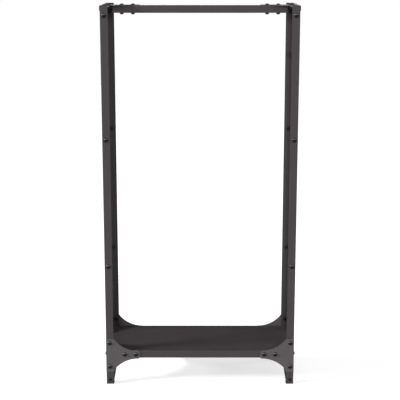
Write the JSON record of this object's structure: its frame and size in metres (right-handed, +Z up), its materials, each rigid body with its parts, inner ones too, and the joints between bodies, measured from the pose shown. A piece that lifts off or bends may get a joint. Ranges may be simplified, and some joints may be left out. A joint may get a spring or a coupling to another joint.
{
  "type": "firewood log rack",
  "caption": "Tall open rack of bolted angle steel: corner posts, a low shelf, curved corner gussets and a top frame, open at the front for stacking split logs.",
  "frame": {"origin": "centre of the rectangle the four posts stand on, at floor level", "axes": "+Z up along the posts, +X to the right seen from the open front, +Y towards the rear tube; the open front faces -Y"},
  "size_m": [0.5066, 0.2096, 1],
  "materials": {
    "frame_coat": "satin dark grey powder coat on folded sheet steel",
    "gusset_coat": "satin dark grey powder coat on flat plate",
    "shelf_coat": "satin dark grey powder coat on folded sheet",
    "bolts": "satin grey coated bolt",
    "nuts": "black coated nut",
    "plastic": "matt black moulded plastic"
  },
  "bodies": {
    "root": {"post_front_left": "frame_coat", "post_front_right": "frame_coat", "post_rear_left": "frame_coat", "post_rear_right": "frame_coat", "base_rail_front": "frame_coat", "base_rail_rear": "frame_coat", "base_rail_left": "frame_coat", "base_rail_right": "frame_coat", "base_tray": "shelf_coat", "top_rail_left": "frame_coat", "top_rail_right": "frame_coat", "top_rail_rear": "frame_coat", "gusset_front_left": "gusset_coat", "gusset_front_right": "gusset_coat", "gusset_rear_left": "gusset_coat", "gusset_rear_right": "gusset_coat", "side_gusset_front_left": "gusset_coat", "side_gusset_front_right": "gusset_coat", "side_gusset_rear_left": "gusset_coat", "side_gusset_rear_right": "gusset_coat", "top_gusset_left": "gusset_coat", "top_gusset_right": "gusset_coat", "foot_front_left": "plastic", "foot_front_right": "plastic", "foot_rear_left": "plastic", "foot_rear_right": "plastic", "gusset_bolts": "bolts", "gusset_nuts": "nuts", "side_bolts": "bolts", "side_nuts": "nuts", "post_bolts": "bolts", "post_nuts": "nuts", "top_gusset_bolts": "bolts", "top_gusset_nuts": "nuts", "foot_screws": "bolts"}
  },
  "joints": []
}
